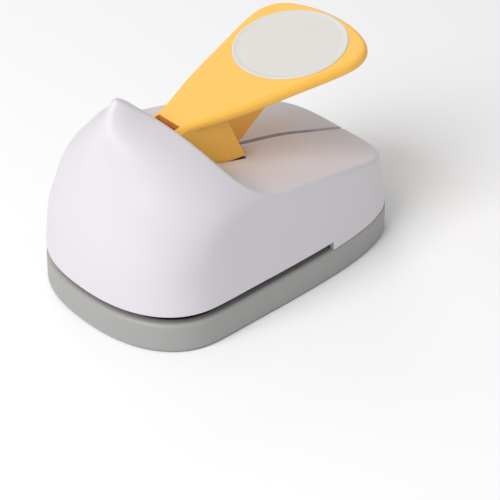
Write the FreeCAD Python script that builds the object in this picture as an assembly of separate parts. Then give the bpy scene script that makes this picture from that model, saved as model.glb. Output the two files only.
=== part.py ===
import FreeCAD, Part
import math
import os

V = FreeCAD.Vector

# A large lever craft punch. Millimetres. X runs along the punch, with the dome and the
# paper throat at -X and the tip of the lever at +X. Y = 0 is the symmetry plane and
# Z = 0 is the surface that the feet stand on.

# Driving dimensions
DIE_DIAMETER = 76.2
DIE_X = -16.0
BODY_FRONT = -77.7
BODY_REAR = 78.0
BODY_HALF_WIDTH = 49.8
BODY_MIDDLE = -43.0
NOSE_ROUNDNESS = 2.3
REAR_TAPER = 0.066
FOOT_HEIGHT = 0.6
BASE_TOP = 14.0
DIE_TOP = 14.2
DIE_THICKNESS = 4.0
THROAT_TOP = 17.8
THROAT_END = 26.0
GUIDE_THICKNESS = 2.5
WALL = 2.6
RUNNING_FIT = 0.05
LEVER_SLOPE = 9.7
LEVER_THICKNESS = 5.0
PAD_X = 41.0
PAD_Z = 91.6
PAD_RADIUS = 25.6
PIVOT_X = -34.0
PIVOT_Z = 58.0
AXLE_RADIUS = 3.0
PRESS_ARM = 12.3
PRESS_ARM_ANGLE = 14.0
CHEEK_INNER = 7.8
CHEEK_OUTER = 9.8
CHEEK_BEND = -26.0
CHEEK_END = 5.0
CHEEK_FLARE = 2.7
CHEEK_BOTTOM = 55.8
NOTCH_HALF_WIDTH = 6.9
WEB_THICKNESS = 1.6
SLOT_WIDTH = 2.6
SLOT_END = 56.0
GROOVE_DEPTH = 1.4
OPENING_FRONT = -38.0
OPENING_REAR = 4.7
CREST_RADIUS = 2.0
RIM_HEIGHT = 18.0
BLOCK_SCREW_HEIGHT = 52.0
POST_RADIUS = 2.0
POST_CIRCLE = 45.0
SPRING_RADIUS = 3.1
SPRING_WIRE = 0.8
SPRING_TURNS = 5
ARM_BOTTOM = 33.0
ARM_TOP = 37.0

# Worked out from them
DIE_BOTTOM = DIE_TOP - DIE_THICKNESS
GUIDE_TOP = THROAT_TOP + GUIDE_THICKNESS
PUNCH_RADIUS = DIE_DIAMETER / 2 - RUNNING_FIT
PUNCH_BOTTOM = THROAT_TOP + 0.5
PUNCH_TOP = PUNCH_BOTTOM + 10.0
PIN_X = PIVOT_X + PRESS_ARM * math.cos(math.radians(PRESS_ARM_ANGLE))
PIN_Z = PIVOT_Z + PRESS_ARM * math.sin(math.radians(PRESS_ARM_ANGLE))
WEAR_PAD_TOP = PIN_Z - AXLE_RADIUS - 0.3
BRACKET_INNER = CHEEK_OUTER + 1.5
BRACKET_OUTER = BRACKET_INNER + 2.0
POSTS = [
    (DIE_X + POST_CIRCLE * math.cos(math.radians(turn)), POST_CIRCLE * math.sin(math.radians(turn)))
    for turn in (45, 135, 225, 315)
]

# Screw places: X, Y
FRAME_SCREWS = [(34.0, 20.0), (34.0, -20.0), (54.0, 20.0), (54.0, -20.0)]
REAR_SCREWS = [(66.0, 16.0), (66.0, -16.0)]
FRONT_SCREWS = [(-66.0, 19.0), (-66.0, -19.0)]
BRACKET_SCREWS = [(-63.0, 8.0), (-63.0, -8.0)]
PLUNGER_SCREWS = [(DIE_X + 24.0, 0.0), (DIE_X - 24.0, 0.0), (DIE_X, 24.0), (DIE_X, -24.0)]
FEET = [(-63.0, 21.0), (-63.0, -21.0), (61.0, 0.0), (48.0, 31.0), (48.0, -31.0)]

# The housing's cross-sections: height, front X, X of the widest place, half width, rear X,
# nose roundness and how much the sides draw in towards the rear.
HOUSING_LEVELS = [
    (10.0, BODY_FRONT, BODY_MIDDLE, BODY_HALF_WIDTH, BODY_REAR, NOSE_ROUNDNESS, REAR_TAPER),
    (38.0, -76.9, -40.0, 46.8, 74.5, 2.35, 0.066),
    (58.0, -72.9, -30.0, 46.8, 72.0, 2.05, 0.066),
    (70.0, -69.3, -30.0, 37.4, 70.0, 1.95, 0.070),
    (80.0, -66.6, -33.0, 26.9, 68.0, 1.90, 0.075),
    (88.0, -64.1, -40.0, 14.4, 66.0, 1.90, 0.080),
    (95.0, -60.4, -43.0, 7.0, 64.0, 1.95, 0.080),
    (104.0, -52.0, -44.0, 3.6, 62.0, 2.00, 0.080),
]
REAR_ROUNDNESS = 4.2
SECTION_POINTS = 11
SECTION_COUNT = 12

# The edge of the housing's top, from dome to rear: X, Z and how far out it runs
DECK_LINE = [
    (-64.0, 106.6, 0.0), (-50.0, 97.8, 5.0), (-40.0, 88.9, 15.0), (-30.0, 75.6, 32.0), (-20.0, 63.6, 43.0),
    (-10.0, 58.5, 46.5), (0.0, 56.5, 46.3), (12.0, 54.2, 45.5), (25.0, 51.6, 43.7), (40.0, 48.0, 41.5),
    (55.0, 43.2, 37.5), (68.0, 38.9, 29.0), (78.0, 34.9, 15.0), (92.0, 29.0, 0.0),
]
DECK_DISH = 1.4


def box(x0, x1, y0, y1, z0, z1):
    return Part.makeBox(x1 - x0, y1 - y0, z1 - z0, V(x0, y0, z0))


def cylinder(x, y, z0, z1, radius):
    return Part.makeCylinder(radius, z1 - z0, V(x, y, z0), V(0, 0, 1))


def cross_cylinder(x, z, y0, y1, radius):
    return Part.makeCylinder(radius, y1 - y0, V(x, y0, z), V(0, 1, 0))


def mirrored(shape):
    return shape.mirror(V(0, 0, 0), V(0, 1, 0))


def both_sides(shape):
    return [shape, mirrored(shape)]


def fused(shapes):
    return shapes[0].fuse(shapes[1:]).removeSplitter()


def side_profile(points, y0, y1):
    """Extrude an outline of X, Z points across Y."""
    corners = [V(x, y0, z) for x, z in points]
    face = Part.Face(Part.makePolygon(corners + corners[:1]))
    return face.extrude(V(0, y1 - y0, 0))


def ring(x, y, z0, z1, outer, inner):
    return cylinder(x, y, z0, z1, outer).cut(cylinder(x, y, z0 - 1, z1 + 1, inner))


def save(name, shapes):
    shape = shapes[0] if len(shapes) == 1 else Part.makeCompound(shapes)
    shape.exportStep(os.path.join("parts", name + ".step"))


def section_points(inset, front, middle, half_width, rear, nose, taper):
    """Half of a cross-section: a rounded nose in front, straight tapered sides behind."""
    reach = middle - front - inset
    half = max(half_width - inset, 0.8)
    back = rear - middle - inset
    points = []
    for step in range(SECTION_POINTS):
        angle = math.pi / 2 * step / (SECTION_POINTS - 1)
        x = middle - reach * math.cos(angle) ** (2 / nose)
        points.append((x, half * math.sin(angle) ** (2 / nose)))
    for step in range(1, SECTION_POINTS + 3):
        angle = math.pi / 2 * step / (SECTION_POINTS + 2)
        share = math.sin(angle) ** (2 / 2.1)
        fullness = (1 - share ** REAR_ROUNDNESS) ** (1 / REAR_ROUNDNESS)
        points.append((middle + back * share, half * fullness * (1 - taper * share)))
    return points


def section_wire(z, half):
    ring_points = [V(x, y, z) for x, y in half]
    ring_points += [V(x, -y, z) for x, y in reversed(half[1:-1])]
    curve = Part.BSplineCurve()
    curve.interpolate(Points=ring_points, PeriodicFlag=True)
    return Part.Wire([curve.toShape()])


def plan_prism(inset, z0, z1):
    """The plan outline of the body, pulled in by inset, as a straight prism."""
    half = section_points(inset, *HOUSING_LEVELS[0][1:])
    return Part.Face(section_wire(z0, half)).extrude(V(0, 0, z1 - z0))


def level_at(z):
    """The section's numbers at height z, eased between the levels without overshoot."""
    above = next(i for i in range(1, len(HOUSING_LEVELS)) if HOUSING_LEVELS[i][0] >= z)
    rows = HOUSING_LEVELS[max(above - 2, 0):above + 2]
    low = min(above - 1, 1)
    start = rows[low]
    end = rows[low + 1]
    span = end[0] - start[0]
    t = (z - start[0]) / span
    values = []
    for column in range(1, len(start)):
        rise = (end[column] - start[column]) / span
        slopes = []
        for here in (low, low + 1):
            before = rows[max(here - 1, 0)]
            after = rows[min(here + 1, len(rows) - 1)]
            slope = (after[column] - before[column]) / (after[0] - before[0])
            slopes.append(slope if slope * rise > 0 else 0.0)
        ease_out = slopes[0] * span * t * (1 - t) ** 2
        ease_in = slopes[1] * span * t ** 2 * (1 - t)
        blend = t ** 2 * (3 - 2 * t)
        values.append(start[column] + (end[column] - start[column]) * blend + ease_out - ease_in)
    return values


def side_walls(inset):
    bottom = HOUSING_LEVELS[0][0]
    top = HOUSING_LEVELS[-1][0]
    wires = []
    for step in range(SECTION_COUNT + 1):
        z = bottom + (top - bottom) * step / SECTION_COUNT
        wires.append(section_wire(z, section_points(inset, *level_at(z))))
    return Part.makeLoft(wires, True, False)


def above_deck(drop):
    """Everything above the top surface, lowered by drop. The top is dished between its edges."""
    wires = []
    for y in (-60.0, -30.0, 0.0, 30.0, 60.0):
        points = []
        for x, z, edge in DECK_LINE:
            dish = DECK_DISH * (edge ** 2 - y ** 2) / BODY_HALF_WIDTH ** 2
            points.append(V(x, y, z - drop - dish))
        curve = Part.BSplineCurve()
        curve.interpolate(points)
        first = points[0]
        last = points[-1]
        lid = [last, V(last.x, y, 140), V(first.x, y, 140), first]
        edges = [curve.toShape()]
        edges += [Part.LineSegment(a, b).toShape() for a, b in zip(lid, lid[1:])]
        wires.append(Part.Wire(edges))
    return Part.makeLoft(wires, True, False)


def housing_envelope(inset, drop):
    return side_walls(inset).cut(above_deck(drop))


def cheek_footprint(inset, z0, z1):
    """The plan of the lever's two cheeks, flared from the bend to the rear, as a prism."""
    near = CHEEK_OUTER - inset
    half = [(-50.0, near), (CHEEK_BEND, near), (CHEEK_END, near + CHEEK_FLARE)]
    corners = [V(x, y, z0) for x, y in half] + [V(x, -y, z0) for x, y in reversed(half)]
    return Part.Face(Part.makePolygon(corners + corners[:1])).extrude(V(0, 0, z1 - z0))


def upper_housing():
    """White shell: dome, dished deck and skirt, open below, with the lever's opening and slot."""
    outer = housing_envelope(0.0, 0.0)
    crest = [edge for edge in outer.Edges if edge.BoundBox.ZMin > 20 and edge.BoundBox.YLength > 50]
    shell = outer.makeFillet(CREST_RADIUS, crest)
    below = box(-100, THROAT_END, -60, 60, 0, RIM_HEIGHT).fuse(box(THROAT_END - 1, 100, -60, 60, 0, BASE_TOP))
    shell = shell.cut(below)
    shell = shell.cut(housing_envelope(WALL, WALL + 0.4))
    opening = cheek_footprint(-0.6, 44, 90).common(box(OPENING_FRONT, OPENING_REAR, -30, 30, 40, 95))
    shell = shell.cut(opening)
    shell = shell.cut(box(0, SLOT_END, -SLOT_WIDTH / 2, SLOT_WIDTH / 2, 30, 70))
    groove = box(SLOT_END - 1, 90, -SLOT_WIDTH / 2, SLOT_WIDTH / 2, 20, 60)
    shell = shell.cut(above_deck(GROOVE_DEPTH).common(groove))
    bosses = [ring(x, y, GUIDE_TOP, 43, 4.0, 1.5 + RUNNING_FIT) for x, y in FRONT_SCREWS]
    bosses += [ring(x, y, BASE_TOP, 37.2, 4.0, 1.5 + RUNNING_FIT) for x, y in REAR_SCREWS]
    rib = [(-68.4, GUIDE_TOP), (-74.8, GUIDE_TOP), (-72.4, 43), (-68.4, 43)]
    ribs = [side_profile(rib, y - 1, y + 1) for x, y in FRONT_SCREWS]
    return shell.fuse(bosses + ribs)


def base_tray():
    """Grey base: a rim around the die plate's pocket, hollow below, with a chip outlet."""
    tray = plan_prism(0.2, FOOT_HEIGHT, BASE_TOP)
    outline = [edge for edge in tray.Edges if edge.BoundBox.ZLength < 0.01]
    low = [edge for edge in outline if edge.BoundBox.ZMin < BASE_TOP - 1]
    tray = tray.makeFillet(0.8, low)
    outline = [edge for edge in tray.Edges if edge.BoundBox.ZLength < 0.01]
    high = [edge for edge in outline if edge.BoundBox.ZMin > BASE_TOP - 1]
    tray = tray.makeFillet(1.8, high)
    pocket = plan_prism(4.4, DIE_BOTTOM, BASE_TOP + 2).common(box(-67, 60.2, -60, 60, 0, 30))
    tray = tray.cut(pocket)
    deck_bottom = DIE_BOTTOM - 2.4
    hollow = plan_prism(3.2, 0, deck_bottom)
    hollow = hollow.cut(cylinder(DIE_X, 0, -1, 30, DIE_DIAMETER / 2 + 3.6))
    for x, y in FEET:
        hollow = hollow.cut(cylinder(x, y, -1, 30, 7.6))
    for x, y in FRAME_SCREWS:
        hollow = hollow.cut(cylinder(x, y, 5.0, 30, 5.0))
    for x, y in REAR_SCREWS:
        hollow = hollow.cut(cylinder(x, y, 5.2, 30, 4.5))
    for y in (-12.0, 12.0):
        hollow = hollow.cut(box(24, 52, y - 0.9, y + 0.9, 1.6, 30))
    tray = tray.cut(hollow)
    tray = tray.cut(cylinder(DIE_X, 0, -1, 30, DIE_DIAMETER / 2 + 1.2))
    for x, y in FEET:
        tray = tray.cut(cylinder(x, y, -1, FOOT_HEIGHT + 1.0, 6.0))
    for x, y in FRAME_SCREWS:
        tray = tray.cut(cylinder(x, y, -1, 30, 2.1))
    for x, y in REAR_SCREWS:
        tray = tray.cut(cylinder(x, y, -1, 30, 1.6))
    return tray


def die_plate():
    """Steel plate with the round cutting hole."""
    plate = plan_prism(4.5, DIE_BOTTOM, DIE_TOP).common(box(-66.8, 60, -60, 60, 0, 30))
    plate = plate.cut(cylinder(DIE_X, 0, 0, 30, DIE_DIAMETER / 2))
    for x, y in FRAME_SCREWS:
        plate = plate.cut(cylinder(x, y, 0, 30, 2.1))
    return plate


def throat_spacer():
    """Packer that holds the jaws apart and stops the sheet at the end of the throat."""
    spacer = plan_prism(4.5, DIE_TOP, THROAT_TOP).common(box(THROAT_END + 0.3, 58, -60, 60, 0, 30))
    for x, y in FRAME_SCREWS:
        spacer = spacer.cut(cylinder(x, y, 0, 30, 2.1))
    return spacer


def countersink(x, y, z):
    return Part.makeCone(3.0, 1.5, 1.5, V(x, y, z), V(0, 0, 1))


def guide_plate():
    """Steel roof of the throat, which guides the cutter and strips the sheet from it."""
    plate = side_walls(WALL + 0.4).common(box(-80, 58, -60, 60, THROAT_TOP, GUIDE_TOP))
    plate = plate.cut(cylinder(DIE_X, 0, 0, 30, DIE_DIAMETER / 2 + 0.02))
    for x, y in FRAME_SCREWS:
        plate = plate.cut(cylinder(x, y, 0, 30, 2.0 + RUNNING_FIT))
    for x, y in FRONT_SCREWS + BRACKET_SCREWS:
        plate = plate.cut(cylinder(x, y, 0, 30, 1.5 + RUNNING_FIT))
        plate = plate.cut(countersink(x, y, THROAT_TOP))
    for x, y in POSTS:
        plate = plate.cut(cylinder(x, y, 0, 30, POST_RADIUS))
    return plate


def punch_cutter():
    """Steel cup whose lower rim cuts the disc."""
    cutter = cylinder(DIE_X, 0, PUNCH_BOTTOM, PUNCH_TOP, PUNCH_RADIUS)
    cutter = cutter.cut(cylinder(DIE_X, 0, 0, PUNCH_TOP - 3, PUNCH_RADIUS - 3.5))
    for x, y in PLUNGER_SCREWS:
        cutter = cutter.cut(cylinder(x, y, 0, 40, 1.5 + RUNNING_FIT))
    return cutter


def plunger():
    """Pressure plate on the cutter: flange, hub, four guide arms and the tower under the pin."""
    pieces = [cylinder(DIE_X, 0, PUNCH_TOP, PUNCH_TOP + 3, 35.0)]
    pieces.append(cylinder(DIE_X, 0, PUNCH_TOP + 3, ARM_TOP, 13.0))
    for turn in (45, 135, 225, 315):
        arm = box(DIE_X, DIE_X + POST_CIRCLE, -4.5, 4.5, ARM_BOTTOM, ARM_TOP)
        arm.rotate(V(DIE_X, 0, 0), V(0, 0, 1), turn)
        pieces.append(arm)
    pieces += [cylinder(x, y, ARM_BOTTOM, ARM_TOP, 4.5) for x, y in POSTS]
    pieces.append(box(-28, -12.5, -7.0, 7.0, PUNCH_TOP + 2, WEAR_PAD_TOP - 2.8))
    for y in (-5.5, 5.5):
        gusset = [(-12.6, ARM_TOP - 1), (-12.6, 48), (-4, ARM_TOP - 1)]
        pieces.append(side_profile(gusset, y - 1, y + 1))
    body = fused(pieces)
    for x, y in POSTS:
        body = body.cut(cylinder(x, y, 0, 60, POST_RADIUS + RUNNING_FIT))
    for x, y in PLUNGER_SCREWS:
        body = body.cut(cylinder(x, y, 0, PUNCH_TOP + 3.1, 1.5 + RUNNING_FIT))
    return body


def wear_pad():
    return box(-27.5, -16.0, -6.6, 6.6, WEAR_PAD_TOP - 2.8, WEAR_PAD_TOP)


def pan_screw(x, y, under_head, tip, shank, head):
    """A screw with its head below, reaching up to tip."""
    body = cylinder(x, y, under_head, tip, shank)
    cap = cylinder(x, y, under_head - 2.2, under_head, head)
    cross = box(x - 0.4, x + 0.4, y - head * 0.6, y + head * 0.6, under_head - 3, under_head - 1.4)
    return body.fuse(cap).cut(cross)


def flat_screw(x, y, tip):
    """A countersunk screw, flush with the throat's roof."""
    cone = countersink(x, y, THROAT_TOP)
    cross = box(x - 0.35, x + 0.35, y - 1.8, y + 1.8, THROAT_TOP - 1, THROAT_TOP + 0.8)
    return cone.fuse(cylinder(x, y, THROAT_TOP + 1.5, tip, 1.5)).cut(cross)


def plunger_screw(x, y):
    flange_top = PUNCH_TOP + 3
    cap = cylinder(x, y, flange_top, flange_top + 1.6, 2.8)
    return cap.fuse(cylinder(x, y, PUNCH_TOP - 2.5, flange_top, 1.5))


def return_spring(x, y):
    """Round-wire coil around a guide post, from the guide plate up to the plunger's arm."""
    gap = 0.1
    rise = ARM_BOTTOM - GUIDE_TOP - SPRING_WIRE - 2 * gap
    helix = Part.makeHelix(rise / SPRING_TURNS, rise, SPRING_RADIUS)
    circle = Part.makeCircle(SPRING_WIRE / 2, V(SPRING_RADIUS, 0, 0), V(0, 1, 0))
    coil = Part.Wire(helix.Edges).makePipeShell([Part.Wire([circle])], True, True)
    coil.translate(V(x, y, GUIDE_TOP + gap + SPRING_WIRE / 2))
    return coil


def hinge_bracket():
    """Steel gallows that carries the lever's axle over the plunger."""
    top = 66.0
    side = side_profile(
        [(-58, 42), (-58, top), (-42, top + 1.5), (-28, 65), (-26, 55), (-31, 49), (-50, 42)],
        BRACKET_INNER, BRACKET_OUTER,
    )
    side = side.cut(cross_cylinder(PIVOT_X, PIVOT_Z, 0, 30, AXLE_RADIUS + RUNNING_FIT))
    back = box(-58, -56, -BRACKET_OUTER, BRACKET_OUTER, GUIDE_TOP, top)
    foot = box(-70, -56, -13, 13, GUIDE_TOP, GUIDE_TOP + 2)
    bracket = fused(both_sides(side) + [back, foot])
    for x, y in BRACKET_SCREWS:
        bracket = bracket.cut(cylinder(x, y, 0, 40, 1.5 + RUNNING_FIT))
    return bracket.cut(Part.makeCylinder(1.5 + RUNNING_FIT, 6, V(-60, 0, BLOCK_SCREW_HEIGHT), V(1, 0, 0)))


def hinge_block():
    """Red-orange block between the lever's cheeks, seen through the notch at the lever's root."""
    half = CHEEK_INNER - 0.5
    tongue = [(-38, 68), (-38, 77.0), (-28.2, 78.4), (-28.2, 68)]
    half_tongue = NOTCH_HALF_WIDTH - 0.4
    block = fused([box(-56, -28.2, -half, half, 47, 71), side_profile(tongue, -half_tongue, half_tongue)])
    block = block.cut(cross_cylinder(PIVOT_X, PIVOT_Z, -30, 30, AXLE_RADIUS + RUNNING_FIT))
    return block.cut(Part.makeCylinder(1.5 + RUNNING_FIT, 12, V(-57, 0, BLOCK_SCREW_HEIGHT), V(1, 0, 0)))


def block_screw():
    cap = Part.makeCylinder(2.8, 1.8, V(-59.8, 0, BLOCK_SCREW_HEIGHT), V(1, 0, 0))
    return cap.fuse(Part.makeCylinder(1.5, 10, V(-58, 0, BLOCK_SCREW_HEIGHT), V(1, 0, 0)))


def axle_ring(y0, y1, outer, inner):
    disc = cross_cylinder(PIVOT_X, PIVOT_Z, y0, y1, outer)
    return disc.cut(cross_cylinder(PIVOT_X, PIVOT_Z, y0 - 1, y1 + 1, inner))


def to_lever(shape):
    """Carry a shape from the paddle's own plane (top at 0, pad centre at the origin) to its place."""
    shape.rotate(V(0, 0, 0), V(0, 1, 0), -LEVER_SLOPE)
    shape.translate(V(PAD_X, 0, PAD_Z))
    return shape


def paddle():
    """The wide plate of the lever, rounded along its edges."""
    half = [
        (-74.2, 9.0), (-66, 10.0), (-58.3, 12.5), (-48.7, 16.2), (-36, 20.4), (-18, 25.5), (2, 31.0),
        (11.0, 31.8), (18.8, 28.6), (24.2, 20.3), (27.2, 8.5),
    ]
    points = [V(s, w, 0) for s, w in half]
    points += [V(s, -w, 0) for s, w in reversed(half)]
    curve = Part.BSplineCurve()
    curve.interpolate(points)
    root = Part.LineSegment(points[-1], points[0])
    plate = Part.Face(Part.Wire([curve.toShape(), root.toShape()])).extrude(V(0, 0, -LEVER_THICKNESS))
    long_edges = [edge for edge in plate.Edges if edge.BoundBox.XLength > 50]
    return plate.makeFillet(2.0, long_edges)


def lever():
    """Yellow moulding: paddle, two cheeks joined by a wall behind, and a thin centre web."""
    side = [
        (-36.5, 77.0), (-7.4, 81.5), (4.0, CHEEK_BOTTOM), (-15, CHEEK_BOTTOM), (-22, 54.5), (-34, 51), (-41, 56),
    ]
    hollow = [(-60, 90), (-9.6, 90), (-9.6, 81.0), (1.6, CHEEK_BOTTOM), (1.6, 30), (-60, 30)]
    cheeks = side_profile(side, -30, 30).common(cheek_footprint(0, 40, 95))
    wall = CHEEK_OUTER - CHEEK_INNER
    cheeks = cheeks.cut(side_profile(hollow, -30, 30).common(cheek_footprint(wall, 20, 99)))
    bosses = []
    for x, z, radius in ((PIVOT_X, PIVOT_Z, 8.0), (PIN_X, PIN_Z, 5.6)):
        bosses += both_sides(cross_cylinder(x, z, CHEEK_INNER, CHEEK_OUTER, radius))
    web = side_profile(
        [(-8, 80), (-8, 83), (54, 92), (55.2, 88.2), (11.4, 55.2), (6, 55.4), (0.4, 60.0)],
        -WEB_THICKNESS / 2, WEB_THICKNESS / 2,
    )
    body = fused([to_lever(paddle()), cheeks, web] + bosses)
    body = body.cut(to_lever(cylinder(0, 0, -1.0, 5, PAD_RADIUS + 0.05)))
    body = body.cut(to_lever(box(-80, -69.3, -NOTCH_HALF_WIDTH, NOTCH_HALF_WIDTH, -8, 8)))
    body = body.cut(cross_cylinder(PIVOT_X, PIVOT_Z, -30, 30, AXLE_RADIUS + 0.06))
    return body.cut(cross_cylinder(PIN_X, PIN_Z, -30, 30, AXLE_RADIUS))


def lever_pad():
    pad = cylinder(0, 0, -1.0, 0.4, PAD_RADIUS)
    top = [edge for edge in pad.Edges if edge.BoundBox.ZMin > 0.3]
    return to_lever(pad.makeFillet(0.35, top))


def rubber_foot(x, y):
    foot = cylinder(x, y, 0, FOOT_HEIGHT + 1.0, 6.0)
    return foot.makeChamfer(0.3, [edge for edge in foot.Edges if edge.BoundBox.ZMax < 0.1])


os.makedirs("parts", exist_ok=True)
save("upper_housing", [upper_housing()])
save("base_tray", [base_tray()])
save("die_plate", [die_plate()])
save("throat_spacer", [throat_spacer()])
save("guide_plate", [guide_plate()])
save("punch_cutter", [punch_cutter()])
save("plunger", [plunger()])
save("wear_pad", [wear_pad()])
save("plunger_screws", [plunger_screw(x, y) for x, y in PLUNGER_SCREWS])
save("guide_posts", [cylinder(x, y, THROAT_TOP, ARM_TOP + 2.2, POST_RADIUS) for x, y in POSTS])
save("post_clips", [ring(x, y, ARM_TOP + 0.3, ARM_TOP + 1.1, 4.0, POST_RADIUS) for x, y in POSTS])
save("return_springs", [return_spring(x, y) for x, y in POSTS])
save("hinge_bracket", [hinge_bracket()])
save("hinge_block", [hinge_block()])
save("block_screws", [block_screw()])
save("hinge_axle", [cross_cylinder(PIVOT_X, PIVOT_Z, -BRACKET_OUTER - 2, BRACKET_OUTER + 2, AXLE_RADIUS)])
save("axle_clips", both_sides(axle_ring(BRACKET_OUTER + 0.1, BRACKET_OUTER + 0.9, 5.0, AXLE_RADIUS)))
save("hinge_washers", both_sides(axle_ring(CHEEK_OUTER + 0.3, BRACKET_INNER, 6.0, AXLE_RADIUS + RUNNING_FIT)))
save("lever", [lever()])
save("lever_pad", [lever_pad()])
save("press_pin", [cross_cylinder(PIN_X, PIN_Z, -CHEEK_OUTER - 0.6, CHEEK_OUTER + 0.6, AXLE_RADIUS)])
save("rubber_feet", [rubber_foot(x, y) for x, y in FEET])
save("frame_screws", [pan_screw(x, y, 5.0, GUIDE_TOP, 2.0, 3.6) for x, y in FRAME_SCREWS])
save("rear_housing_screws", [pan_screw(x, y, 5.2, 28.0, 1.5, 3.2) for x, y in REAR_SCREWS])
save("front_housing_screws", [flat_screw(x, y, 32.0) for x, y in FRONT_SCREWS])
save("bracket_screws", [flat_screw(x, y, GUIDE_TOP + 2) for x, y in BRACKET_SCREWS])
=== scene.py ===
import math

import bmesh
import bpy
from bpy.props import FloatProperty, FloatVectorProperty, PointerProperty, StringProperty
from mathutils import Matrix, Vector


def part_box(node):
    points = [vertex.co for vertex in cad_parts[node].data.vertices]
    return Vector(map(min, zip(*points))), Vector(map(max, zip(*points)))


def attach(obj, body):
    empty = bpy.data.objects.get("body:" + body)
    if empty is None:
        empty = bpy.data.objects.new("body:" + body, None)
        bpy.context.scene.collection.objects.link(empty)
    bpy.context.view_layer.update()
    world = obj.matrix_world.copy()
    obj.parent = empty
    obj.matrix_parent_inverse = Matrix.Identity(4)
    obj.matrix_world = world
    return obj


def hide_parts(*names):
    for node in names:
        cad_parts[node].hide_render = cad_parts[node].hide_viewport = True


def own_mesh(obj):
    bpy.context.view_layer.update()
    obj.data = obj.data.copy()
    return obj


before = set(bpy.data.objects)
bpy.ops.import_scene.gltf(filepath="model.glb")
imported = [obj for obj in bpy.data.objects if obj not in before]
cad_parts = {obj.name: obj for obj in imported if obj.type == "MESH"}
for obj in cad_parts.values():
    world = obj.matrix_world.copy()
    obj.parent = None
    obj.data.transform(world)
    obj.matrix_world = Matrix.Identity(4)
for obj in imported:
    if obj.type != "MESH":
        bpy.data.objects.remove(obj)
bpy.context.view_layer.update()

bl_info = {
    "name": "Lever craft punch",
    "version": (1, 0, 0),
    "blender": (4, 5, 0),
    "location": "View3D > Sidebar > Lever punch",
    "description": "Moulded plastic, steel and rubber looks for a large lever craft punch, and its studio",
    "category": "Object",
}

MM = 0.001

# Closer than this counts as the same place, and a face this near to upright counts as facing up
SAME_PLACE = 0.02 * MM
FACING = 0.9

# Edges sharper than this stay hard
SMOOTH_ANGLE = math.radians(32)

# The inlay: facets round it, the step into its dish, its rounded edges, and the rings of its dish
PAD_SIDES = 160
PAD_STEP = 0.25 * MM
PAD_EDGE = 0.35 * MM
PAD_DISH_EDGE = 0.08 * MM
PAD_RINGS = (2.0 * MM, 4.0 * MM, 6.0 * MM)
PAD_RING_DROP = 0.02 * MM

# The rubber feet: X and Y in millimetres, then the rings under a foot from its edge inwards, as
# width and step outwards in millimetres
FOOT_PLACES = ((-63.0, 21.0), (-63.0, -21.0), (61.0, 0.0), (48.0, 31.0), (48.0, -31.0))
FOOT_SIDES = 72
FOOT_EDGE = 0.3 * MM
FOOT_RINGS = ((1.3, 0.0), (0.2, -0.3), (0.9, 0.0), (0.2, 0.25))

# A spring's turns, and the facets round its wire and along one turn
SPRING_TURNS = 5
SPRING_SIDES = 12
SPRING_STEPS = 28

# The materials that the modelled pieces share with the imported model
INLAY_PLASTIC = "ABS, matt moulded, pale grey"
SPRING_STEEL = "Spring steel, drawn wire"
FOOT_RUBBER = "Rubber, moulded, black"

# A Mix node's sockets when it mixes colours
MIX_FACTOR = 0
MIX_A = 6
MIX_B = 7
MIX_RESULT = 2

# Typical refractive indices
ABS_IOR = 1.53
ACETAL_IOR = 1.48
RUBBER_IOR = 1.52

# The studio: floor size in metres, the sky's strength, and each lamp's name, place, size and power
FLOOR_SIZE = 6.0
SKY_STRENGTH = 0.46
SENSOR_WIDTH = 36.0
LAMPS = (
    ("key", (-1.0, -0.1, 1.1), 1.0, 16.0),
    ("rim", (0.6, 1.1, 0.8), 0.8, 2.5),
)


# ---------------------------------------------------------------- small helpers

def linear(hex_colour):
    """An sRGB hex colour as the linear RGBA that Blender's sockets take."""
    channels = [int(hex_colour[i:i + 2], 16) / 255 for i in (1, 3, 5)]
    lit = [c / 12.92 if c <= 0.04045 else ((c + 0.055) / 1.055) ** 2.4 for c in channels]
    return (*lit, 1.0)


def join_up(material, node, links):
    """Links each output to the node's input of that name or number."""
    for name, output in links.items():
        material.node_tree.links.new(output, node.inputs[name])


def add_node(material, kind, settings=None, values=None, links=None):
    """Adds a shader node, sets its properties and its input values, and links outputs to inputs."""
    node = material.node_tree.nodes.new(kind)
    for name, value in (settings or {}).items():
        setattr(node, name, value)
    for name, value in (values or {}).items():
        node.inputs[name].default_value = value
    join_up(material, node, links or {})
    return node


def new_material(name, surface):
    """A material with a Principled shader, whose own sockets surface sets. It comes back with that
    shader and with the Object coordinates that its patterns read."""
    material = bpy.data.materials.new(name)
    material.use_nodes = True
    material.node_tree.nodes.clear()
    shader = add_node(material, "ShaderNodeBsdfPrincipled", values=surface)
    add_node(material, "ShaderNodeOutputMaterial", links={"Surface": shader.outputs["BSDF"]})
    where = add_node(material, "ShaderNodeTexCoord")
    return material, shader, where.outputs["Object"]


def per_metre(size_mm):
    """The Noise or Voronoi scale at which one feature is about size_mm across."""
    return 1.0 / (size_mm * MM)


def darker(colour, share):
    """A linear RGBA colour with its light cut to that share."""
    return tuple(channel * share for channel in colour[:3]) + (1.0,)


def deselect_all():
    """Leaves edit mode and selects nothing."""
    if bpy.context.object and bpy.context.object.mode != "OBJECT":
        bpy.ops.object.mode_set(mode="OBJECT")
    bpy.ops.object.select_all(action="DESELECT")


def start_cylinder(name, radius, low, high, turn, sides):
    """A closed cylinder whose caps are centred on low and high, turned about Y to suit them. It is
    left in edit mode with nothing selected."""
    deselect_all()
    low = Vector(low)
    high = Vector(high)
    bpy.ops.mesh.primitive_cylinder_add(vertices=sides, radius=radius, depth=(high - low).length,
                                        location=(low + high) / 2, rotation=(0.0, turn, 0.0))
    piece = bpy.context.object
    piece.name = name
    piece.data.name = name
    bpy.ops.object.mode_set(mode="EDIT")
    bpy.ops.mesh.select_mode(type="FACE")
    bpy.ops.mesh.select_all(action="DESELECT")
    return piece


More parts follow.
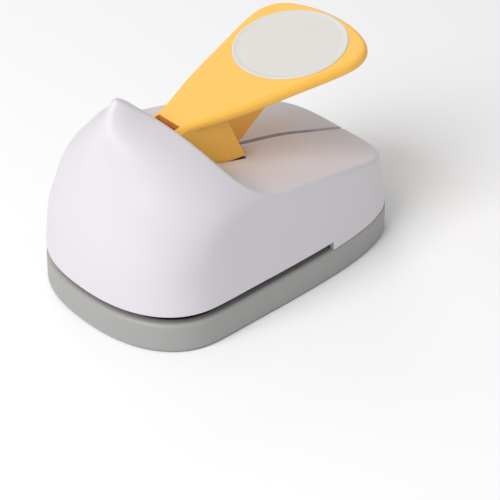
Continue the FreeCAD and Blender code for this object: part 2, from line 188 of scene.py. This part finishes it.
def pick_cap(piece, side):
    """Selects the cap that faces up the piece's own Z axis for side 1 and down it for side -1."""
    mesh = bmesh.from_edit_mesh(piece.data)
    for face in mesh.faces:
        face.select_set(face.normal.z * side > FACING)
    if not any(face.select for face in mesh.faces):
        raise RuntimeError(f"{piece.name} has no cap on side {side}")
    bmesh.update_edit_mesh(piece.data)


def pick_rim(piece, side, radius):
    """Selects the ring of edges round the cap at that radius."""
    bpy.ops.mesh.select_mode(type="EDGE")
    bpy.ops.mesh.select_all(action="DESELECT")
    mesh = bmesh.from_edit_mesh(piece.data)
    reach = max(side * vert.co.z for vert in mesh.verts)
    for edge in mesh.edges:
        on_rim = [abs(vert.co.xy.length - radius) < SAME_PLACE and side * vert.co.z > reach - SAME_PLACE
                  for vert in edge.verts]
        edge.select_set(all(on_rim))
    if not any(edge.select for edge in mesh.edges):
        raise RuntimeError(f"{piece.name} has no rim at radius {radius}")
    bmesh.update_edit_mesh(piece.data)


def finish_piece(piece, material, body, node):
    """Puts the piece's place into its mesh, smooths it, gives it its material, hangs it on its body and
    hides the imported part it stands in for.
    """
    bpy.ops.object.mode_set(mode="OBJECT")
    bpy.ops.object.transform_apply(location=True, rotation=True, scale=True)
    bpy.ops.object.shade_smooth_by_angle(angle=SMOOTH_ANGLE)
    piece.data.materials.clear()
    piece.data.materials.append(bpy.data.materials[material])
    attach(piece, body)
    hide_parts(node)


def copy_piece(piece, name, offset):
    """A copy with its own mesh, moved by offset inside that mesh so that its object stays at the origin."""
    deselect_all()
    piece.select_set(True)
    bpy.context.view_layer.objects.active = piece
    bpy.ops.object.duplicate(linked=False)
    copy = bpy.context.object
    copy.name = name
    copy.data.name = name
    bpy.ops.object.mode_set(mode="EDIT")
    bpy.ops.mesh.select_all(action="SELECT")
    bpy.ops.transform.translate(value=offset)
    bpy.ops.object.mode_set(mode="OBJECT")
    return copy


# ---------------------------------------------------------------- materials

def moulded_plastic(name, colour, roughness, grain_mm, grain_depth_mm, mottling, ior=ABS_IOR):
    """Injection-moulded plastic. The tool's fine spark-eroded grain breaks up the highlights, and
    slow changes in packing leave faint drifts of shade over hand-sized areas. The real grain is
    about 0.1 mm and is drawn coarser so that it shows."""
    material, shader, place = new_material(name, {"IOR": ior})
    drift = add_node(material, "ShaderNodeTexNoise", values={"Scale": per_metre(28), "Detail": 3.0},
                     links={"Vector": place})
    grain = add_node(material, "ShaderNodeTexNoise",
                     values={"Scale": per_metre(grain_mm), "Detail": 2.0, "Roughness": 0.6},
                     links={"Vector": place})
    light = linear(colour)
    tint = add_node(material, "ShaderNodeMix", {"data_type": "RGBA"},
                    values={MIX_A: darker(light, 1 - mottling), MIX_B: light},
                    links={MIX_FACTOR: drift.outputs["Fac"]})
    gloss = add_node(material, "ShaderNodeMapRange",
                     values={"From Min": 0.3, "From Max": 0.7,
                             "To Min": roughness - 0.04, "To Max": roughness + 0.05},
                     links={"Value": grain.outputs["Fac"]})
    bump = add_node(material, "ShaderNodeBump",
                    values={"Strength": 0.35, "Distance": grain_depth_mm * MM},
                    links={"Height": grain.outputs["Fac"]})
    join_up(material, shader, {"Base Color": tint.outputs[MIX_RESULT],
                               "Roughness": gloss.outputs["Result"],
                               "Normal": bump.outputs["Normal"]})
    return material


def brushed_steel(name, colour, roughness, line_mm, along):
    """Rolled, ground, drawn or plated steel. Fine parallel lines run along one axis, darken the
    metal between them and stretch the highlights. Real lines are under 0.1 mm apart and are drawn
    coarser so that they show."""
    material, shader, place = new_material(name, {"Metallic": 1.0, "Anisotropic": 0.35})
    stretch = [1.0, 1.0, 1.0]
    stretch["XYZ".index(along)] = 0.03
    lines_place = add_node(material, "ShaderNodeMapping", values={"Scale": stretch},
                           links={"Vector": place})
    lines = add_node(material, "ShaderNodeTexNoise",
                     values={"Scale": per_metre(line_mm), "Detail": 4.0, "Roughness": 0.7},
                     links={"Vector": lines_place.outputs["Vector"]})
    light = linear(colour)
    tint = add_node(material, "ShaderNodeMix", {"data_type": "RGBA"},
                    values={MIX_A: darker(light, 0.82), MIX_B: light},
                    links={MIX_FACTOR: lines.outputs["Fac"]})
    gloss = add_node(material, "ShaderNodeMapRange",
                     values={"To Min": roughness - 0.08, "To Max": roughness + 0.12},
                     links={"Value": lines.outputs["Fac"]})
    bump = add_node(material, "ShaderNodeBump", values={"Strength": 0.15, "Distance": 0.02 * MM},
                    links={"Height": lines.outputs["Fac"]})
    join_up(material, shader, {"Base Color": tint.outputs[MIX_RESULT],
                               "Roughness": gloss.outputs["Result"],
                               "Normal": bump.outputs["Normal"]})
    return material


def moulded_rubber(name, colour):
    """Compression-moulded rubber: dark, almost matt, with a powdery bloom over its fine pores. The
    pores are drawn at 0.6 mm, coarser than real ones, so that they show."""
    material, shader, place = new_material(name, {"IOR": RUBBER_IOR, "Specular IOR Level": 0.35})
    pores = add_node(material, "ShaderNodeTexVoronoi", values={"Scale": per_metre(0.6)},
                     links={"Vector": place})
    bloom = add_node(material, "ShaderNodeTexNoise", values={"Scale": per_metre(5), "Detail": 4.0},
                     links={"Vector": place})
    dark = linear(colour)
    dusty = tuple(min(channel * 1.8 + 0.01, 1.0) for channel in dark[:3]) + (1.0,)
    tint = add_node(material, "ShaderNodeMix", {"data_type": "RGBA"},
                    values={MIX_A: dark, MIX_B: dusty},
                    links={MIX_FACTOR: bloom.outputs["Fac"]})
    gloss = add_node(material, "ShaderNodeMapRange", values={"To Min": 0.62, "To Max": 0.9},
                     links={"Value": bloom.outputs["Fac"]})
    bump = add_node(material, "ShaderNodeBump", values={"Strength": 0.3, "Distance": 0.05 * MM},
                    links={"Height": pores.outputs["Distance"]})
    join_up(material, shader, {"Base Color": tint.outputs[MIX_RESULT],
                               "Roughness": gloss.outputs["Result"],
                               "Normal": bump.outputs["Normal"]})
    return material


def pale_paper(name, light, lighter):
    """Matt background paper, with a slow drift between two near-whites and no gloss."""
    material, shader, place = new_material(name, {"Roughness": 0.9, "Specular IOR Level": 0.1})
    drift = add_node(material, "ShaderNodeTexNoise", values={"Scale": per_metre(400), "Detail": 2.0},
                     links={"Vector": place})
    tint = add_node(material, "ShaderNodeMix", {"data_type": "RGBA"},
                    values={MIX_A: linear(light), MIX_B: linear(lighter)},
                    links={MIX_FACTOR: drift.outputs["Fac"]})
    join_up(material, shader, {"Base Color": tint.outputs[MIX_RESULT]})
    return material


# ---------------------------------------------------------------- what a user may change

class PunchColours(bpy.types.PropertyGroup):
    """The colours of the moulded parts"""
    # The housing colour is a cool white with a faint pink tint. The pink is painted reflection: it stands
    # in for the orange light that the yellow lever throws on the housing
    housing: StringProperty(name="Housing", description="sRGB hex colour of the white housing",
                            default="#D8D4DA")
    base: StringProperty(name="Base", description="sRGB hex colour of the grey base",
                         default="#A2A19F")
    lever: StringProperty(name="Lever", description="sRGB hex colour of the yellow lever",
                          default="#FFC24E")
    inlay: StringProperty(name="Inlay", description="sRGB hex colour of the round inlay",
                          default="#DCD9D4")
    # The hinge block's red-orange is painted light: it stands in for the deep red that light takes when
    # bouncing inside the yellow lever's notch, where the block shows
    block: StringProperty(name="Hinge block", description="sRGB hex colour of the block under the lever",
                          default="#C43207")


class PunchSizes(bpy.types.PropertyGroup):
    """The sizes of the pieces modelled here"""
    slope: FloatProperty(name="Slope", description="How steeply the lever's top climbs at rest",
                         default=math.radians(9.7), subtype="ANGLE", unit="ROTATION")
    pad_thickness: FloatProperty(name="Inlay thickness", description="The round inlay's thickness",
                                 default=1.4 * MM, unit="LENGTH", subtype="DISTANCE")
    pad_rim: FloatProperty(name="Inlay rim", description="Width of the flat rim round the inlay's dish",
                           default=1.1 * MM, unit="LENGTH", subtype="DISTANCE")
    pad_dish: FloatProperty(name="Inlay dish", description="The step down from the inlay's rim",
                            default=0.12 * MM, unit="LENGTH", subtype="DISTANCE")
    foot_radius: FloatProperty(name="Foot radius", description="A rubber foot's radius",
                               default=6.0 * MM, unit="LENGTH", subtype="DISTANCE")
    foot_height: FloatProperty(name="Foot height", description="A rubber foot's height with its root",
                               default=1.6 * MM, unit="LENGTH", subtype="DISTANCE")
    spring_radius: FloatProperty(name="Spring radius", description="From a spring's axis to mid wire",
                                 default=3.1 * MM, unit="LENGTH", subtype="DISTANCE")
    spring_wire: FloatProperty(name="Spring wire", description="A spring's wire diameter",
                               default=0.8 * MM, unit="LENGTH", subtype="DISTANCE")


class PunchStudio(bpy.types.PropertyGroup):
    """Where the camera stands and what it looks at"""
    azimuth: FloatProperty(name="Azimuth", description="Where the camera stands, 0 looking along +Y",
                           default=math.radians(-41.5), subtype="ANGLE", unit="ROTATION")
    elevation: FloatProperty(name="Elevation", description="The camera's height above the horizon",
                             default=math.radians(34.17), subtype="ANGLE", unit="ROTATION")
    distance: FloatProperty(name="Distance", description="From the camera to the point it looks at",
                            default=0.95, unit="LENGTH", subtype="DISTANCE")
    lens: FloatProperty(name="Lens", description="Focal length in millimetres on a 36 mm sensor",
                        default=152.4)
    aim: FloatVectorProperty(name="Aim", description="The point on the table that the camera looks at",
                             default=(0.012, -0.00655, 0.0), size=3, subtype="TRANSLATION", unit="LENGTH")


# ---------------------------------------------------------------- operators

class PUNCH_OT_finishes(bpy.types.Operator):
    """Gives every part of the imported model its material"""
    bl_idname = "punch.finishes"
    bl_label = "Finishes"

    def execute(self, context):
        colours = context.scene.punch_colours
        # The white's faint pink is painted reflection of the yellow lever's light, not the plastic's own
        # tint
        white = moulded_plastic("ABS, satin moulded, cool white with painted pink reflection", colours.housing, roughness=0.36,
                                grain_mm=0.9, grain_depth_mm=0.018, mottling=0.02)
        grey = moulded_plastic("ABS, satin moulded, warm grey", colours.base, roughness=0.45,
                               grain_mm=0.8, grain_depth_mm=0.03, mottling=0.05)
        yellow = moulded_plastic("ABS, satin moulded, yellow", colours.lever, roughness=0.4,
                                 grain_mm=0.9, grain_depth_mm=0.02, mottling=0.03)
        pale = moulded_plastic(INLAY_PLASTIC, colours.inlay, roughness=0.55,
                               grain_mm=0.7, grain_depth_mm=0.03, mottling=0.02)
        # Painted interreflection: this red-orange stands in for the deep red of light bouncing in the
        # lever's yellow notch over the block
        red = moulded_plastic("Acetal, moulded, red-orange painted interreflection", colours.block, roughness=0.5,
                              grain_mm=0.8, grain_depth_mm=0.015, mottling=0.05, ior=ACETAL_IOR)
        dark = moulded_plastic("Acetal, moulded, dark grey", "#4A4B4D", roughness=0.4,
                               grain_mm=0.8, grain_depth_mm=0.02, mottling=0.08, ior=ACETAL_IOR)
        natural = moulded_plastic("Acetal, moulded, natural white", "#E8E6E0", roughness=0.35,
                                  grain_mm=0.8, grain_depth_mm=0.015, mottling=0.03, ior=ACETAL_IOR)
        plate = brushed_steel("Steel, cold-rolled plate", "#C2C4C7", roughness=0.34,
                              line_mm=0.5, along="X")
        ground = brushed_steel("Steel, hardened and ground", "#D2D4D6", roughness=0.24,
                               line_mm=0.4, along="Y")
        drawn = brushed_steel(SPRING_STEEL, "#A9ABAF", roughness=0.3, line_mm=0.5, along="Z")
        zinc = brushed_steel("Steel, zinc plated", "#C9CACB", roughness=0.3, line_mm=0.6, along="Z")
        rubber = moulded_rubber(FOOT_RUBBER, "#1D1E20")
        finish_of = {
            white: ["upper_housing"],
            grey: ["base_tray", "throat_spacer"],
            yellow: ["lever"],
            pale: ["lever_pad"],
            red: ["hinge_block"],
            dark: ["plunger"],
            natural: ["wear_pad", "hinge_washers"],
            plate: ["die_plate", "guide_plate", "hinge_bracket"],
            ground: ["punch_cutter", "guide_posts", "hinge_axle", "press_pin"],
            drawn: ["return_springs", "post_clips", "axle_clips"],
            zinc: ["plunger_screws", "block_screws", "frame_screws", "rear_housing_screws",
                   "front_housing_screws", "bracket_screws"],
            rubber: ["rubber_feet"],
        }
        for material, nodes in finish_of.items():
            for node in nodes:
                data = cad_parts[node].data
                data.materials.clear()
                data.materials.append(material)
        bare = [name for name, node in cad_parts.items() if not node.data.materials]
        if bare:
            raise RuntimeError(f"no finish for {bare}")
        return {"FINISHED"}


class PUNCH_OT_pad(bpy.types.Operator):
    """Models the round inlay: a thin disc with a soft edge, a narrow flat rim and a shallow dish"""
    bl_idname = "punch.pad"
    bl_label = "Inlay"

    def execute(self, context):
        sizes = context.scene.punch_sizes
        low, high = (Vector(corner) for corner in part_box("lever_pad"))
        middle = (low + high) / 2
        radius = (high.y - low.y) / 2
        up = Vector((-math.sin(sizes.slope), 0.0, math.cos(sizes.slope)))
        half = up * sizes.pad_thickness / 2
        pad = start_cylinder("pad_inlay", radius, middle - half, middle + half, -sizes.slope, PAD_SIDES)
        pick_cap(pad, 1)
        bpy.ops.mesh.inset(thickness=sizes.pad_rim)
        bpy.ops.mesh.inset(thickness=PAD_STEP, depth=-sizes.pad_dish)
        for width in PAD_RINGS:
            bpy.ops.mesh.inset(thickness=width, depth=-PAD_RING_DROP)
        pick_rim(pad, 1, radius)
        bpy.ops.mesh.bevel(offset=PAD_EDGE, segments=4, affect="EDGES")
        pick_rim(pad, 1, radius - sizes.pad_rim)
        bpy.ops.mesh.bevel(offset=PAD_DISH_EDGE, segments=2, affect="EDGES")
        finish_piece(pad, INLAY_PLASTIC, "lever", "lever_pad")
        return {"FINISHED"}


class PUNCH_OT_feet(bpy.types.Operator):
    """Models one rubber foot with a rounded edge and a suction ring, and copies it to the other places"""
    bl_idname = "punch.feet"
    bl_label = "Feet"

    def execute(self, context):
        sizes = context.scene.punch_sizes
        x, y = FOOT_PLACES[0]
        first = start_cylinder("rubber_foot_1", sizes.foot_radius, (x * MM, y * MM, 0.0),
                               (x * MM, y * MM, sizes.foot_height), 0.0, FOOT_SIDES)
        pick_cap(first, -1)
        for width, step in FOOT_RINGS:
            bpy.ops.mesh.inset(thickness=width * MM, depth=step * MM)
        pick_rim(first, -1, sizes.foot_radius)
        bpy.ops.mesh.bevel(offset=FOOT_EDGE, segments=3, affect="EDGES")
        finish_piece(first, FOOT_RUBBER, "frame", "rubber_feet")
        for number, (to_x, to_y) in enumerate(FOOT_PLACES[1:], start=2):
            foot = copy_piece(first, f"rubber_foot_{number}", ((to_x - x) * MM, (to_y - y) * MM, 0.0))
            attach(foot, "frame")
            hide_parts("rubber_feet")
        return {"FINISHED"}


class PUNCH_OT_springs(bpy.types.Operator):
    """Models one coil spring, closes its cut ends, and copies it round the other guide posts"""
    bl_idname = "punch.springs"
    bl_label = "Springs"

    def execute(self, context):
        sizes = context.scene.punch_sizes
        low, high = (Vector(corner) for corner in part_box("return_springs"))
        outer = sizes.spring_radius + sizes.spring_wire / 2
        places = [(x, y) for x in (low.x + outer, high.x - outer) for y in (low.y + outer, high.y - outer)]
        x, y = places[0]
        deselect_all()
        wire_radius = sizes.spring_wire / 2
        bpy.ops.mesh.primitive_circle_add(vertices=SPRING_SIDES, radius=wire_radius, fill_type="NOTHING",
                                          location=(x, y, low.z + wire_radius))
        first = context.object
        first.name = "return_spring_1"
        first.data.name = first.name
        bpy.ops.object.mode_set(mode="EDIT")
        bpy.ops.mesh.select_all(action="SELECT")
        bpy.ops.transform.rotate(value=math.pi / 2, orient_axis="X", center_override=first.location)
        bpy.ops.transform.translate(value=(sizes.spring_radius, 0.0, 0.0))
        bpy.ops.object.mode_set(mode="OBJECT")
        coil = first.modifiers.new("coil", "SCREW")
        coil.axis = "Z"
        coil.angle = 2 * math.pi * SPRING_TURNS
        coil.screw_offset = high.z - low.z - sizes.spring_wire
        coil.steps = SPRING_STEPS * SPRING_TURNS
        coil.render_steps = coil.steps
        bpy.ops.object.modifier_apply(modifier=coil.name)
        bpy.ops.object.mode_set(mode="EDIT")
        bpy.ops.mesh.select_all(action="SELECT")
        bpy.ops.mesh.fill_holes(sides=0)
        bpy.ops.mesh.select_all(action="SELECT")
        bpy.ops.mesh.normals_make_consistent(inside=False)
        finish_piece(first, SPRING_STEEL, "frame", "return_springs")
        springs = [first]
        for number, (to_x, to_y) in enumerate(places[1:], start=2):
            spring = copy_piece(first, f"return_spring_{number}", (to_x - x, to_y - y, 0.0))
            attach(spring, "frame")
            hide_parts("return_springs")
            springs.append(spring)
        for spring in springs:
            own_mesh(spring)
        return {"FINISHED"}


class PUNCH_OT_stage(bpy.types.Operator):
    """Builds the pale floor, the soft lights and the camera"""
    bl_idname = "punch.stage"
    bl_label = "Studio"

    def execute(self, context):
        studio = context.scene.punch_studio
        deselect_all()
        bpy.ops.mesh.primitive_plane_add(size=FLOOR_SIZE, location=(0, 0, 0))
        floor = context.object
        floor.name = "floor"
        floor.data.materials.append(pale_paper("Paper sweep, pale", "#FAFAFB", "#FEFEFE"))

        context.scene.view_settings.view_transform = "Standard"
        world = bpy.data.worlds.new("Studio")
        world.use_nodes = True
        context.scene.world = world
        sky = world.node_tree.nodes["Background"]
        sky.inputs["Color"].default_value = (1.0, 1.0, 1.0, 1.0)
        sky.inputs["Strength"].default_value = SKY_STRENGTH

        for name, place, size, power in LAMPS:
            data = bpy.data.lights.new(name, "AREA")
            data.shape = "DISK"
            data.size = size
            data.energy = power
            lamp = bpy.data.objects.new(name, data)
            lamp.location = place
            lamp.rotation_euler = (-Vector(place)).to_track_quat("-Z", "Y").to_euler()
            context.scene.collection.objects.link(lamp)

        data = bpy.data.cameras.new("camera")
        data.sensor_width = SENSOR_WIDTH
        data.lens = studio.lens
        camera = bpy.data.objects.new("camera", data)
        level = math.cos(studio.elevation)
        back = Vector((math.sin(studio.azimuth) * level, -math.cos(studio.azimuth) * level,
                       math.sin(studio.elevation)))
        camera.location = Vector(studio.aim) + back * studio.distance
        camera.rotation_euler = (-back).to_track_quat("-Z", "Y").to_euler()
        context.scene.collection.objects.link(camera)
        context.scene.camera = camera
        return {"FINISHED"}


class PUNCH_PT_panel(bpy.types.Panel):
    """Lists the colours, the sizes, the studio and one button for each step"""
    bl_label = "Lever punch"
    bl_idname = "PUNCH_PT_panel"
    bl_space_type = "VIEW_3D"
    bl_region_type = "UI"
    bl_category = "Lever punch"

    def draw(self, context):
        scene = context.scene
        for group in (scene.punch_colours, scene.punch_sizes, scene.punch_studio):
            for name in group.__annotations__:
                self.layout.prop(group, name)
        for step in STEPS:
            self.layout.operator(step.bl_idname)


GROUPS = (PunchColours, PunchSizes, PunchStudio)
STEPS = (PUNCH_OT_finishes, PUNCH_OT_pad, PUNCH_OT_feet, PUNCH_OT_springs, PUNCH_OT_stage)


def register():
    for cls in GROUPS + STEPS + (PUNCH_PT_panel,):
        bpy.utils.register_class(cls)
    bpy.types.Scene.punch_colours = PointerProperty(type=PunchColours)
    bpy.types.Scene.punch_sizes = PointerProperty(type=PunchSizes)
    bpy.types.Scene.punch_studio = PointerProperty(type=PunchStudio)


def unregister():
    del bpy.types.Scene.punch_studio
    del bpy.types.Scene.punch_sizes
    del bpy.types.Scene.punch_colours
    for cls in reversed(GROUPS + STEPS + (PUNCH_PT_panel,)):
        bpy.utils.unregister_class(cls)


def main():
    register()
    bpy.ops.punch.finishes()
    bpy.ops.punch.pad()
    bpy.ops.punch.feet()
    bpy.ops.punch.springs()
    bpy.ops.punch.stage()


if __name__ == "__main__":
    main()
